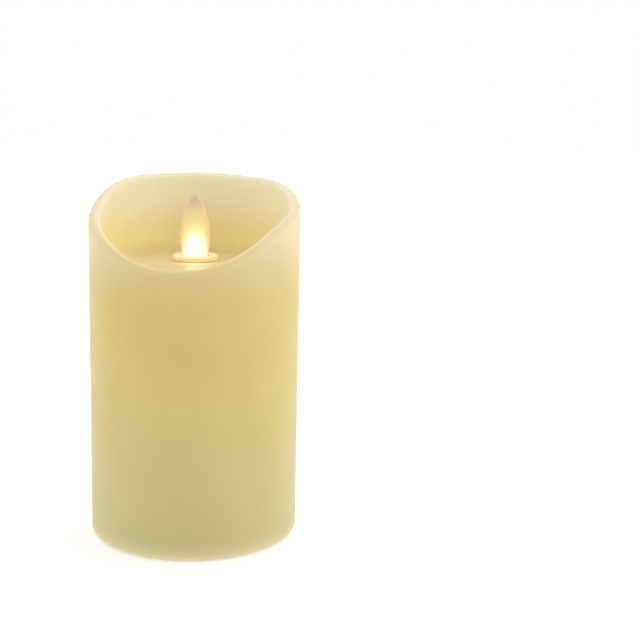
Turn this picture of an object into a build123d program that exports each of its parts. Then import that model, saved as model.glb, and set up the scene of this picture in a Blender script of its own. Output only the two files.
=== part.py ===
"""A flameless LED pillar candle, as an assembly of its separate pieces.

A real-wax shell with a melted, wavy rim is cast round a plastic core. A flame-shaped blade
stands in the middle of the wax pool. It hangs on a thin steel wire under the deck, with a
magnet below the wire and an electromagnet coil under that, so that it sways when the coil
pulses. An LED shines up at it from the front. The base holds two AA cells, a slide switch
and a battery door that swings out on a hook and a spring latch.

The origin is on the table, on the candle's axis. +Z is up. -Y is the side where the rim is
melted lowest. Everything is in millimetres.
"""
import os
from math import atan2, cos, pi, radians, sin

from build123d import *

os.makedirs("parts", exist_ok=True)

# ---- overall sizes ------------------------------------------------------------------
candle_diameter = 75.0
candle_height = 128.8           # table to the highest crest of the rim
radius = candle_diameter / 2

# ---- wax shell ----------------------------------------------------------------------
wax_wall = 4.3                  # beside the core
wax_lift = 0.5                  # the wax ends this far above the table
wax_foot_round = 1.6
pool_depth = 28.8               # highest crest down to the pool of wax round the flame
wax_floor = 4.5                 # thickness of the pool's floor
lip_wall = 4.3                  # wall at the rim
lip_round = 1.7                 # outer edge of the rim
lip_round_inner = 1.3
rim_drop = 11.2                 # highest crest down to the rim's mean height
# Waves of the melted rim: (waves per turn, height, direction of a crest in degrees from -Y to +X).
# The first tilts the rim up towards the back, the second saddles it, the others are ripples.
rim_waves = ((1, 13.6, 169), (2, 2.6, 73), (3, 0.3, 56), (4, 0.55, 43), (6, 0.3, -7))
rim_grid = 36                   # spans of the grid that the rim is measured on
bowl_floor_radius = 18.0        # flat part of the pool
bowl_turn = 8.0                 # height over which the pool turns up into the wall

pool_z = candle_height - pool_depth
deck_top = pool_z - wax_floor
bore_radius = radius - wax_wall

# ---- core sleeve and base -----------------------------------------------------------
fit_gap = 0.2                   # between the wax and the plastic core
core_radius = bore_radius - fit_gap
sleeve_wall = 1.6
deck = 2.0
deck_under = deck_top - deck
base_top = 22.0                 # where the sleeve stands on the base
base_wall = 1.4
plate_z = 1.0                   # outer face of the base plate, inside the standing rim
plate = 2.0
plate_top = plate_z + plate
base_inner = core_radius - base_wall

# ---- flame opening ------------------------------------------------------------------
flame_hole = 6.2                # radius of the opening that the flame stands in
skirt_wall = 0.5
neck_gap = 0.1
neck_wall = 0.9
neck_inner = flame_hole + skirt_wall + neck_gap
neck_outer = neck_inner + neck_wall
bezel_rim = 2.05                # how far the trim ring reaches out from the opening
bezel_radius = flame_hole + bezel_rim
bezel_thick = 1.8
bezel_z = pool_z + 0.1
skirt_depth = 3.2

# ---- pendulum mechanism -------------------------------------------------------------
pivot_z = deck_under - 1.5
wire_radius = 0.3
cavity = 8.2                    # half width of the square shaft that the pendulum swings in
shaft_wall = 1.4
shaft_outer = cavity + shaft_wall
sway_limit = 8.0                # degrees, side to side
nod_limit = 6.0                 # degrees, front to back
magnet_radius = 4.0
magnet_thick = 3.0
magnet_arm = 23.5               # wire down to the magnet's lower face
magnet_gap = 4.1                # magnet's lower face down to the coil's bobbin
bobbin_radius = 7.8
bobbin_height = 8.0
bobbin_flange = 1.0
bobbin_core = 2.8
winding_radius = 7.0
shaft_floor = pivot_z - magnet_arm - magnet_gap - bobbin_height
shaft_floor_z = shaft_floor - shaft_wall
eye_narrow, eye_wide = 0.42, 0.78
stem_width, stem_thick = 3.6, 2.2
eye_thick, eye_height = 3.2, 5.0
# Flame blade: (height above the pool, half width, half thickness)
flame_sections = ((-5.6, 1.8, 1.3), (-2.0, 3.2, 1.5), (0.8, 4.15, 1.7), (3.0, 4.65, 1.85),
                  (6.5, 5.25, 2.0), (9.0, 5.3, 2.0), (14.0, 4.75, 1.8), (17.0, 3.9, 1.5),
                  (19.5, 2.9, 1.15), (21.5, 1.9, 0.8), (22.8, 1.05, 0.5), (23.5, 0.4, 0.28))

# ---- LED ----------------------------------------------------------------------------
led_tilt = 25.0                 # degrees from upright, leaning towards the flame
led_radius = 2.5
led_length = 8.6
led_flange = 2.9
led_tip_drop = 2.5              # tip below the deck
led_aim = 5.0                   # height above the pool where the LED points
led_tube_wall = 1.4
led_gap = 0.1
led_board_drop = 1.5            # lamp's base down to its board
led_board_size = (10.0, 8.0, 1.1)

# ---- cells, contacts and door -------------------------------------------------------
cell_radius = 7.15
cell_length = 50.2
nub_radius, nub_length = 2.75, 1.2
cell_gap = 0.4                  # between the two cells
cell_y = cell_radius + cell_gap / 2
door_rest_gap = 0.8
well_slack = 0.5                # beside the cells
well_half_x, well_half_y = 27.3, cell_y + cell_radius + well_slack
well_corner = 2.0
well_wall = 1.2
door_thick = 1.8
door_gap = 0.3
door_top = plate_z + door_thick
cell_z = door_top + door_rest_gap + cell_radius
well_top = cell_z + cell_radius + 0.8
roof_top = well_top + 1.4
contact_thick = 0.4
contact_half = well_half_y - well_corner - cell_y - 0.25    # half width, clear of the corners
contact_low, contact_high = 5.5, 16.0
dimple = 0.6
spring_wire = 0.3               # radius of the spring's wire
spring_wide, spring_narrow = 4.2, 2.8
spring_turns = 2
tail_top = roof_top + 2.4
hook_half_y = 3.0
hook_reach = 1.7
hook_thick = 1.1
ledge_y = 1.2

# ---- switch -------------------------------------------------------------------------
switch_y = -23.5
switch_step = 2.0               # ON, OFF and TIMER are this far apart
knob_x, knob_y = 4.2, 3.2
switch_body_z = plate_top + 2.2
switch_body = (12.5, 5.8, 4.6)
switch_board = (26.0, 8.0, 1.1)
switch_board_z = switch_body_z + switch_body[2]
switch_post_x = 10.5

# ---- control board ------------------------------------------------------------------
board = (36.0, 26.0, 1.2)
board_z = roof_top + 4.4
board_face = board_z + board[2]
board_post = (14.5, 9.5)
lead_radius = 0.55

# ---- screws -------------------------------------------------------------------------
screw_slack = 0.05
column = (17.5, 22.3)           # where the four base screws are
column_radius = 3.4
base_screw = (2.3, 1.25, 16.0)  # head radius, shank radius, shank length
base_screw_seat = 13.0
small_screw = (1.9, 1.0, 8.0)
tiny_screw = (1.8, 0.8, 4.4)
head_height = 1.5
sleeve_boss = 3.2
deck_boss, deck_boss_length = 3.0, 5.5
ear_thick = 2.5
mount_x, mount_y = 14.5, 5.0
clamp_x = 11.9
clamp_radius = 2.5
clamp_reach = 6.0
clamp_z = (shaft_floor_z + 5.0, shaft_floor_z + 24.0)


def disc(r, low, high, x=0.0, y=0.0):
    """An upright cylinder between two heights."""
    return Pos(x, y, low) * Cylinder(r, high - low, align=(Align.CENTER, Align.CENTER, Align.MIN))


def ring(outer, inner, low, high, x=0.0, y=0.0):
    """An upright tube. Its hole is cut a little past both ends."""
    return disc(outer, low, high, x, y) - disc(inner, low - 1, high + 1, x, y)


def block(x0, x1, y0, y1, z0, z1):
    """A box given by its two corners."""
    return Pos((x0 + x1) / 2, (y0 + y1) / 2, (z0 + z1) / 2) * Box(x1 - x0, y1 - y0, z1 - z0)


def rounded_block(half_x, half_y, corner, low, high):
    """A box round the axis whose upright edges are rounded."""
    return Pos(0, 0, low) * extrude(RectangleRounded(2 * half_x, 2 * half_y, corner), high - low)


def both_ways(x, y):
    """The four places (+-x, +-y)."""
    return [(sx * x, sy * y) for sx in (-1, 1) for sy in (-1, 1)]


def screw(size):
    """A self-tapping screw, its head's bearing face at z = 0 and its shank going up."""
    head, shank, length = size
    body = disc(head, -head_height, 0) + disc(shank, -0.01, length - shank)
    body += Pos(0, 0, length - shank / 2) * Cone(shank, 0.2 * shank, shank)
    slot = Box(1.3 * head, 0.22 * head, head_height)
    for turn in (0, 90):
        body -= Rot(0, 0, turn) * Pos(0, 0, -head_height) * slot
    return body


def lead(points, bend):
    """An insulated lead along straight runs joined by arcs."""
    path = FilletPolyline(*points, radius=bend)
    section = Plane(origin=path @ 0, z_dir=path % 0) * Circle(lead_radius)
    return sweep(section, path=path)


def rim_height(x, y):
    """Height of the melted rim: a mean height and a few waves round the candle. Over the flat
    part of the pool the waves fade to nothing, so that the surface is smooth everywhere."""
    turn = atan2(x, -y)
    share = min(1.0, (x * x + y * y) ** 0.5 / bowl_floor_radius)
    swell = sin(share * pi / 2)
    waves = sum(a * swell**n * cos(n * (turn - radians(crest))) for n, a, crest in rim_waves)
    return candle_height - rim_drop + waves


def above_the_rim():
    """Everything above the melted rim, as a solid to cut away."""
    reach, steps = radius + 3, rim_grid
    places = [reach * (2 * i / steps - 1) for i in range(steps + 1)]
    grid = [[Vector(x, y, rim_height(x, y)) for y in places] for x in places]
    sheet = Face.make_surface_from_array_of_points(grid, tol=0.02)
    return Solid.extrude(sheet, Vector(0, 0, candle_height))


def rim_edges(shell):
    """The closed edges of the rim, from the innermost out."""
    high = shell.edges().filter_by(lambda e: e.is_closed and e.bounding_box().max.Z > pool_z + 1)
    return high.sort_by(lambda e: e.bounding_box().size.X)


def wax_shell():
    """The cast and melted wax: a wall round the core, the pool's floor, and the bowl above."""
    inner = radius - lip_wall
    turn_up = Bezier((bowl_floor_radius, 0, pool_z), (inner - 3.0, 0, pool_z),
                     (inner - 2.2, 0, pool_z + bowl_turn), (inner, 0, candle_height + 2))
    outline = Polyline((inner, 0, candle_height + 2), (0, 0, candle_height + 2), (0, 0, pool_z),
                       (bowl_floor_radius, 0, pool_z))
    bowl = revolve(make_face(turn_up + outline), Axis.Z)
    shell = disc(radius, wax_lift, candle_height + 1)
    shell = fillet(shell.edges().sort_by(Axis.Z)[0], wax_foot_round)
    shell -= bowl
    shell -= disc(bore_radius, 0, deck_top)
    shell -= disc(neck_outer + neck_gap, deck_top - 1, pool_z + 1)
    shell = shell - above_the_rim()
    shell = fillet(rim_edges(shell)[-1], lip_round)
    return fillet(rim_edges(shell)[0], lip_round_inner)


def core_sleeve():
    """The tube that the wax is cast round, with a deck and a neck for the flame, and bosses
    for the screws of the base and of the mechanism."""
    tube = ring(core_radius, core_radius - sleeve_wall, base_top, deck_under)
    body = tube + disc(core_radius, deck_under, deck_top) + disc(neck_outer, deck_under, pool_z)
    boss_top = base_top + 12
    for x, y in both_ways(*column):
        boss = disc(sleeve_boss, base_top, boss_top, x, y) & disc(core_radius, 0, boss_top)
        body += boss
        body -= disc(base_screw[1] + screw_slack, base_top - 1, boss_top - 2, x, y)
    for side in (-1, 1):
        x = side * mount_x
        low = deck_under - deck_boss_length
        body += disc(deck_boss, low, deck_under, x, mount_y)
        body -= disc(small_screw[1] + screw_slack, low - 1, deck_under - 0.5, x, mount_y)
    return body - disc(neck_inner, deck_under - 1, pool_z + 1)


def flame_bezel():
    """The trim ring on the pool, round the flame, with a skirt down into the neck."""
    flange = disc(bezel_radius, bezel_z, bezel_z + bezel_thick)
    flange = fillet(flange.edges().sort_by(Axis.Z)[-1], 0.45 * bezel_thick)
    body = flange + disc(flame_hole + skirt_wall, bezel_z - skirt_depth, bezel_z)
    body -= disc(flame_hole, bezel_z - skirt_depth - 1, bezel_z + bezel_thick + 1)
    inner = body.edges().filter_by(GeomType.CIRCLE).sort_by(Axis.Z)[-2:].sort_by(SortBy.RADIUS)[0]
    return fillet(inner, 0.4)


def flame_paddle():
    """The flame: a blade of oval sections, an eye for the wire, a stem and a seat for the magnet."""
    ovals = [Pos(0, 0, pool_z + h) * Ellipse(w, t) for h, w, t in flame_sections]
    blade = loft([oval.face() for oval in ovals])
    seat_low = pivot_z - magnet_arm + magnet_thick
    body = blade + block(-stem_width / 2, stem_width / 2, -stem_thick / 2, stem_thick / 2,
                         seat_low + 0.6, pool_z + flame_sections[0][0] + 0.4)
    body += block(-stem_width / 2, stem_width / 2, -eye_thick / 2, eye_thick / 2,
                  pivot_z - eye_height / 2, pivot_z + eye_height / 2)
    body += disc(magnet_radius + 0.3, seat_low, seat_low + 1.2)
    half = stem_width / 2 + 0.1
    for side in (-1, 1):
        flare = Cone(eye_narrow, eye_wide, half, align=(Align.CENTER, Align.CENTER, Align.MIN))
        body -= Pos(0, 0, pivot_z) * Rot(0, side * 90, 0) * flare
    return body


def flame_magnet():
    low = pivot_z - magnet_arm
    return chamfer(disc(magnet_radius, low, low + magnet_thick).edges(), 0.3)


def pivot_wire():
    half = shaft_outer - 0.2
    return Pos(0, 0, pivot_z) * Rot(0, 90, 0) * Cylinder(wire_radius, 2 * half)


def led_place():
    """Where the LED's base is, turned so that its own +Z is the way it shines."""
    tip_z = deck_under - led_tip_drop
    tip_y = -(pool_z + led_aim - tip_z) * sin(radians(led_tilt)) / cos(radians(led_tilt))
    base_y = tip_y - led_length * sin(radians(led_tilt))
    base_z = tip_z - led_length * cos(radians(led_tilt))
    return Pos(0, base_y, base_z) * Rot(-led_tilt, 0, 0)


def led_tube(r, low, high):
    return led_place() * disc(r, low, high)


def clamp_bar(x, z, r, y0, y1):
    """A cylinder lying along Y, for a clamp screw's boss or hole."""
    return Pos(x, (y0 + y1) / 2, z) * Rot(90, 0, 0) * Cylinder(r, y1 - y0)


def mech_half(front):
    """One half of the mechanism's shaft. The halves meet on the plane y = 0, where the wire
    lies in their grooves. The front one also holds the LED, and the back one has the ears."""
    side = -1 if front else 1
    body = block(-shaft_outer, shaft_outer, -shaft_outer, shaft_outer, shaft_floor_z, deck_under)
    if front:
        tube = led_tube(led_radius + led_gap + led_tube_wall, -led_board_drop, led_length + 6)
        body += tube & disc(core_radius, 0, deck_under)
    else:
        ear_top = deck_under - deck_boss_length
        for s in (-1, 1):
            x = s * mount_x
            body += disc(deck_boss, ear_top - ear_thick, ear_top, x, mount_y)
            inner, outer = sorted((s * (shaft_outer - 1), x))
            body += block(inner, outer, mount_y - deck_boss, mount_y + deck_boss,
                          ear_top - ear_thick, ear_top)
            body -= disc(small_screw[1] + 0.2, ear_top - ear_thick - 1, ear_top + 1, x, mount_y)
    ways = [(s * clamp_x, z) for s in (-1, 1) for z in clamp_z]
    for x, z in ways:
        body += clamp_bar(x, z, clamp_radius, *sorted((0, side * clamp_reach)))
    body -= block(-cavity, cavity, -cavity, cavity, shaft_floor, deck_under + 1)
    ledge_low = shaft_floor + bobbin_height + 0.2
    for s in (-1, 1):
        x0, x1 = sorted((s * (cavity - 1), s * (cavity + 0.5)))
        body += block(x0, x1, -cavity - 0.5, cavity + 0.5, ledge_low, ledge_low + 1.2)
    body -= disc(2.2, shaft_floor_z - 1, shaft_floor + 0.1, 4.5, 0)
    body -= Pos(0, 0, pivot_z) * Rot(0, 90, 0) * Cylinder(wire_radius + screw_slack, 4 * cavity)
    for x, z in ways:
        if front:
            body -= clamp_bar(x, z, small_screw[1] + screw_slack, 1 - clamp_reach, 1)
        else:
            body -= clamp_bar(x, z, small_screw[1] + 0.2, -1, clamp_reach + 1)
    if front:
        body -= led_tube(led_radius + led_gap, -led_board_drop - 1, led_length + 8)
        body -= led_tube(led_flange + led_gap, -led_board_drop - 1, 1 + led_gap)
        half_x, half_y = led_board_size[0] / 2 + 0.2, led_board_size[1] / 2 + 0.2
        body -= led_place() * block(-half_x, half_x, -half_y, half_y, -led_board_drop - 6,
                                    -led_board_drop)
    far = 4 * cavity
    keep = block(-far, far, *sorted((0, side * far)), shaft_floor_z - 1, deck_under)
    return body & keep


def mech_clamp_screws():
    """Four screws that clamp the two halves of the shaft together."""
    return Compound([Pos(s * clamp_x, clamp_reach, z) * Rot(90, 0, 0) * screw(small_screw)
                     for s in (-1, 1) for z in clamp_z])


def mech_mount_screws():
    """Two screws up through the ears into the deck's bosses."""
    seat = deck_under - deck_boss_length - ear_thick
    size = (small_screw[0], small_screw[1], deck_boss_length + ear_thick - 1.5)
    return Compound([Pos(s * mount_x, mount_y, seat) * screw(size) for s in (-1, 1)])


def led_lamp():
    """A 5 mm LED: flange, barrel and domed lens."""
    barrel = led_length - led_radius
    lamp = disc(led_flange, 0, 1) + disc(led_radius, 0.5, barrel)
    lamp += Pos(0, 0, barrel) * (Sphere(led_radius) & block(-3, 3, -3, 3, -0.1, 3))
    return led_place() * lamp


def led_leads():
    """The LED's two wire legs, through its board."""
    legs = [disc(0.25, -led_board_drop - 2.0, 0, x) for x in (-1.27, 1.27)]
    return Compound([led_place() * leg for leg in legs])


def led_board():
    x, y, z = led_board_size
    low = -led_board_drop - z
    body = block(-x / 2, x / 2, -y / 2, y / 2, low, -led_board_drop)
    for leg in (-1.27, 1.27):
        body -= disc(0.35, low - 1, 0, leg)
    return led_place() * body


def coil_bobbin():
    low, high = shaft_floor, shaft_floor + bobbin_height
    body = disc(bobbin_radius, low, low + bobbin_flange) + disc(bobbin_core, low, high)
    body += disc(bobbin_radius, high - bobbin_flange, high)
    body -= disc(bobbin_core - 1.2, low - 1, high + 1)
    for y in (-1.2, 1.2):
        body -= disc(lead_radius + 0.1, low - 1, low + bobbin_flange, 4.5, y)
    return body


def coil_winding():
    low = shaft_floor + bobbin_flange
    high = shaft_floor + bobbin_height - bobbin_flange
    return ring(winding_radius, bobbin_core, low, high)


def base_housing():
    """The base: outer wall and standing rim, base plate, battery well with its roof, four
    screw columns, and posts for the switch board and the control board."""
    body = ring(core_radius, base_inner, 0, base_top) + disc(base_inner + 0.2, plate_z, plate_top)
    well = rounded_block(well_half_x + well_wall, well_half_y + well_wall, well_corner + well_wall,
                         plate_z, roof_top)
    body += well & disc(core_radius, 0, roof_top)
    for x, y in both_ways(*column):
        body += disc(column_radius, plate_z, base_top, x, y) & disc(core_radius, 0, base_top)
    for s in (-1, 1):
        body += disc(2.3, plate_z, switch_board_z, s * switch_post_x, switch_y)
        body += disc(2.2, well_top, board_z, s * board_post[0], board_post[1])
    body -= rounded_block(well_half_x, well_half_y, well_corner, plate_z - 1, well_top)
    for s in (-1, 1):
        y0, y1 = sorted((s * (well_half_y - ledge_y), s * (well_half_y + 0.2)))
        body += block(-20, 20, y0, y1, door_top + 0.1, door_top + 1.5)
        slot_y = s * cell_y
        body -= block(-well_half_x - 0.1, 0.6 - well_half_x, slot_y - 1.7, slot_y + 1.7,
                      well_top - 1, roof_top + 1)
        body -= disc(tiny_screw[1] + screw_slack, board_z - 4, board_z + 1,
                     s * board_post[0], board_post[1])
        body -= disc(tiny_screw[1] + screw_slack, switch_board_z - 6, switch_board_z + 1,
                     s * switch_post_x, switch_y)
    for x, y in both_ways(*column):
        body -= disc(base_screw[0] + 0.3, plate_z - 1, base_screw_seat, x, y)
        body -= disc(base_screw[1] + 0.25, base_screw_seat - 1, base_top + 1, x, y)
    body -= block(well_half_x - 0.1, well_half_x + well_wall + 0.1, -hook_half_y - 0.4,
                  hook_half_y + 0.4, plate_top, plate_top + hook_thick + 1.0)
    body -= block(-well_half_x - 3.2, -well_half_x + 0.1, -6, 6, plate_z - 1, plate_z + 1.1)
    body -= Pos(0, switch_y, plate_z - 1) * extrude(RectangleRounded(15, 7.5, 1.5), 2.0)
    travel = 2 * switch_step
    body -= Pos(0, switch_y, plate_z) * Box(knob_x + travel + 0.4, knob_y + 0.4, 2 * plate + 1)
    return body


def base_screws():
    """Four screws up through the base's columns into the sleeve."""
    return Compound([Pos(x, y, base_screw_seat) * screw(base_screw)
                     for x, y in both_ways(*column)])


def battery_door():
    """The door in the base plate, with a hook at one end and a spring latch at the other. The
    latch's nose is drawn as a thumb holds it, clear of the opening."""
    half_x, half_y = well_half_x - door_gap, well_half_y - door_gap
    body = rounded_block(half_x, half_y, well_corner - door_gap, plate_z, door_top)
    hook_low = plate_top + 0.05
    body += block(half_x - 1.6, half_x - 0.1, -hook_half_y, hook_half_y, door_top - 0.5,
                  hook_low + hook_thick)
    body += block(half_x - 1.6, well_half_x + hook_reach, -hook_half_y, hook_half_y, hook_low,
                  hook_low + hook_thick)
    body += block(-18, 20, -0.8, 0.8, door_top - 0.2, door_top + 1.8)
    for s in (-1, 1):
        y0, y1 = sorted((s * 5.0, s * 5.8))
        body -= block(-half_x - 1, -half_x + 9, y0, y1, plate_z - 1, door_top + 1)
    for i in range(3):
        x = -half_x + 1.4 + 1.8 * i
        body -= block(x, x + 0.8, -4, 4, plate_z - 0.1, plate_z + 0.5)
    body += block(-half_x - 0.2, -half_x + 1.2, -3.5, 3.5, door_top - 0.3, door_top + 0.9)
    return body


def cell(y, plus):
    """An AA cell lying along X, its nub towards plus (-1 or 1)."""
    tip = well_half_x - contact_thick - dimple - 0.05
    can = Cylinder(cell_radius, cell_length - nub_length)
    can = fillet(can.edges(), 0.5)
    nub = Pos(0, 0, cell_length / 2) * Cylinder(nub_radius, nub_length)
    body = can + chamfer(nub.edges().sort_by(Axis.Z)[-1], 0.3)
    lie = Rot(0, 90 * plus, 0) * Pos(0, 0, tip - cell_length / 2 - nub_length / 2)
    return Pos(0, y, cell_z) * lie * body


def contact_plate(x_side, low_y, high_y):
    """A contact's flat steel, against the end wall of the well."""
    face = well_half_x - 0.02
    x0, x1 = sorted((x_side * (face - contact_thick), x_side * face))
    return block(x0, x1, low_y, high_y, contact_low, contact_high)


def contact_dimple(x_side, y):
    face = well_half_x - 0.02 - contact_thick
    return Pos(x_side * (face - dimple / 2), y, cell_z) * Rot(0, 90, 0) * Cylinder(2.0, dimple)


def contact_tail(y):
    """The solder tail of a contact, up through the roof of the well."""
    face = well_half_x - 0.02
    return block(-face, -face + contact_thick, y - 1.5, y + 1.5, contact_high - 0.5, tail_top)


def contact_bridge():
    """The plate that joins the two cells in series."""
    reach = cell_y + contact_half + 0.2
    return contact_plate(1, -reach, reach) + contact_dimple(1, -cell_y)


def contact_positive():
    flat = contact_plate(-1, cell_y - contact_half, cell_y + contact_half)
    return flat + contact_dimple(-1, cell_y) + contact_tail(cell_y)


def contact_negative():
    flat = contact_plate(-1, -cell_y - contact_half, -cell_y + contact_half)
    return flat + contact_tail(-cell_y)


def contact_spring(x_side, y):
    """A conical spring between a contact plate and a cell's flat end."""
    cell_end = well_half_x - contact_thick - dimple - 0.05 - cell_length
    gap = well_half_x - 0.02 - contact_thick + cell_end
    height = gap - 2 * spring_wire - 0.08
    slope = atan2(spring_wide - spring_narrow, height) * 180 / pi
    path = Helix(height / spring_turns, height, spring_wide, cone_angle=-slope)
    section = Plane(origin=path @ 0, z_dir=path % 0) * Circle(spring_wire)
    coil = sweep(section, path=path)
    start = well_half_x - 0.02 - contact_thick - spring_wire - 0.04
    return Pos(x_side * start, y, cell_z) * Rot(0, -90 * x_side, 0) * coil


def switch_case():
    """The slide switch's case, with the slot that the slider's finger reaches into."""
    x, y, z = switch_body
    body = block(-x / 2, x / 2, switch_y - y / 2, switch_y + y / 2, switch_body_z, switch_board_z)
    return body - block(-3.4, 3.4, switch_y - 0.8, switch_y + 0.8, switch_body_z - 1,
                        switch_body_z + 2.4)


def switch_slider():
    """The switch's plastic slider, at its ON end: knob, flange inside the plate, and finger."""
    def part(x, y, low, high):
        return block(-x / 2, x / 2, -y / 2, y / 2, low, high)
    body = part(knob_x, knob_y, plate_z + 0.2, plate_top + 0.5)
    body += part(9.0, 6.0, plate_top + 0.2, plate_top + 1.4)
    body += part(2.2, 1.2, plate_top + 1.0, switch_body_z + 1.6)
    for i in range(3):
        x = -1.4 + 1.4 * i
        body -= block(x - 0.3, x + 0.3, -2, 2, plate_z, plate_z + 0.6)
    return Pos(-switch_step, switch_y, 0) * body


def switch_circuit():
    x, y, z = switch_board
    body = block(-x / 2, x / 2, switch_y - y / 2, switch_y + y / 2, switch_board_z,
                 switch_board_z + z)
    for s in (-1, 1):
        body -= disc(1.0, switch_board_z - 1, switch_board_z + z + 1, s * switch_post_x, switch_y)
    return body


def driven_down(x, y, seat, size):
    """A screw driven downwards, its head on the face at seat."""
    return Pos(x, y, seat) * Rot(180, 0, 0) * screw(size)


def switch_screws():
    seat = switch_board_z + switch_board[2]
    return Compound([driven_down(s * switch_post_x, switch_y, seat, tiny_screw)
                     for s in (-1, 1)])


def control_board():
    x, y, z = board
    body = Pos(0, 0, board_z) * extrude(RectangleRounded(x, y, 1.0), z)
    for s in (-1, 1):
        body -= disc(1.0, board_z - 1, board_face + 1, s * board_post[0], board_post[1])
    return body


def board_screws():
    return Compound([driven_down(s * board_post[0], board_post[1], board_face, tiny_screw)
                     for s in (-1, 1)])


def control_chip():
    """An eight-legged chip: its body and its legs."""
    pieces = [block(-7, -2, -2, 2, board_face + 0.2, board_face + 1.7)]
    for s in (-1, 1):
        for i in range(4):
            x = -6.4 + 1.27 * i
            y0, y1 = sorted((s * 2.0, s * 3.1))
            pieces.append(block(x - 0.2, x + 0.2, y0, y1, board_face, board_face + 0.7))
    return Compound(pieces)


def capacitor():
    """A small electrolytic can with a crimp near its foot."""
    can = disc(2.5, board_face, board_face + 5.8, 9.5, -7)
    groove = ring(3.0, 2.25, board_face + 1.1, board_face + 1.6, 9.5, -7)
    return fillet(can.edges().sort_by(Axis.Z)[-1], 0.5) - groove


def resistors():
    """Three chip resistors."""
    return Compound([block(x, x + 2.0, 5.0, 6.25, board_face, board_face + 0.6)
                     for x in (-6.0, -1.5, 3.0)])


def timer_crystal():
    """The timer's crystal in its tin can, lying on the board."""
    return Pos(5.0, 0.5, board_face + 1.05) * Rot(0, 90, 0) * Cylinder(1.0, 6.2)


def battery_lead(side):
    """From a contact's tail to the control board."""
    y = side * cell_y
    x0 = -well_half_x + 0.02 + contact_thick
    low, high = tail_top - 0.8, board_face + 3.4
    return lead([(x0, y, low), (x0 + 5, y, low), (x0 + 7.5, 0.6 * y, high), (-15.5, 0.5 * y, high),
                 (-15.5, 0.5 * y, board_face)], 1.6)


def switch_leads():
    """Three leads from the switch board up to the control board."""
    y0, y1 = switch_y + 3.0, -board[1] / 2 + 1.5
    high = board_face + 3.0
    return Compound([lead([(x, y0, switch_board_z + switch_board[2]), (x, y0, high), (x, y1, high),
                           (x, y1, board_face)], 1.8) for x in (-4, 0, 4)])


def coil_leads():
    """Two leads from the winding, through the floor of the shaft, down to the control board."""
    top = shaft_floor + bobbin_flange
    room = shaft_floor_z - board_face
    upper, lower = shaft_floor_z - 0.4 * room, shaft_floor_z - 0.6 * room
    return Compound([lead([(4.5, y, top), (4.5, y, upper), (14.5, 1.6 * y, lower),
                           (14.5, 1.6 * y, board_face)], min(4.0, 0.3 * room))
                     for y in (-1.2, 1.2)])


def led_wires():
    """Two leads from the LED's board down to the control board."""
    start = led_place() * Pos(0, 0, -led_board_drop - led_board_size[2])
    y0, z0 = start.position.Y, start.position.Z
    lean = sin(radians(led_tilt))
    room = shaft_floor_z - board_face
    upper, lower = board_face + 0.55 * room, board_face + 0.3 * room
    pair = []
    for s in (-1, 1):
        x = 3.2 * s
        pair.append(lead([(x, y0, z0), (x, y0 - 4 * lean, z0 - 4 * cos(radians(led_tilt))),
                          (x, y0 - 4 * lean, upper), (0.6 * x, -6.5, lower),
                          (0.6 * x, -6.5, board_face)], min(2.0, 0.25 * room)))
    return Compound(pair)


parts = {
    "wax_shell": wax_shell(),
    "core_sleeve": core_sleeve(),
    "flame_bezel": flame_bezel(),
    "flame_paddle": flame_paddle(),
    "flame_magnet": flame_magnet(),
    "pivot_wire": pivot_wire(),
    "mech_housing_front": mech_half(True),
    "mech_housing_back": mech_half(False),
    "mech_clamp_screws": mech_clamp_screws(),
    "mech_mount_screws": mech_mount_screws(),
    "led_lamp": led_lamp(),
    "led_leads": led_leads(),
    "led_board": led_board(),
    "led_wires": led_wires(),
    "coil_bobbin": coil_bobbin(),
    "coil_winding": coil_winding(),
    "coil_leads": coil_leads(),
    "base_housing": base_housing(),
    "base_screws": base_screws(),
    "battery_door": battery_door(),
    "battery_1": cell(cell_y, -1),
    "battery_2": cell(-cell_y, 1),
    "contact_bridge": contact_bridge(),
    "contact_positive": contact_positive(),
    "contact_negative": contact_negative(),
    "contact_spring_1": contact_spring(1, cell_y),
    "contact_spring_2": contact_spring(-1, -cell_y),
    "battery_lead_red": battery_lead(1),
    "battery_lead_black": battery_lead(-1),
    "switch_case": switch_case(),
    "switch_slider": switch_slider(),
    "switch_board": switch_circuit(),
    "switch_screws": switch_screws(),
    "switch_leads": switch_leads(),
    "control_board": control_board(),
    "board_screws": board_screws(),
    "control_chip": control_chip(),
    "capacitor": capacitor(),
    "resistors": resistors(),
    "timer_crystal": timer_crystal(),
}
for name, shape in parts.items():
    export_step(shape, f"parts/{name}.step")
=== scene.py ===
# %% [markdown]
# # A flameless LED candle
#
# This lesson dresses a real-wax pillar candle whose flame is a lit, swaying blade. The solid
# model already holds the core, the mechanism, the cells and the base. Blender adds what the eye
# judges: the melted wax itself, its glow, and the finish of every plastic, metal and wire.
# Everything is in metres, with the table at z = 0 and the candle's axis on x = y = 0. The side
# where the rim has melted lowest looks towards -Y.

# %% Load the frame
import math

import bpy
import numpy as np
from mathutils import Matrix, Vector


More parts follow.
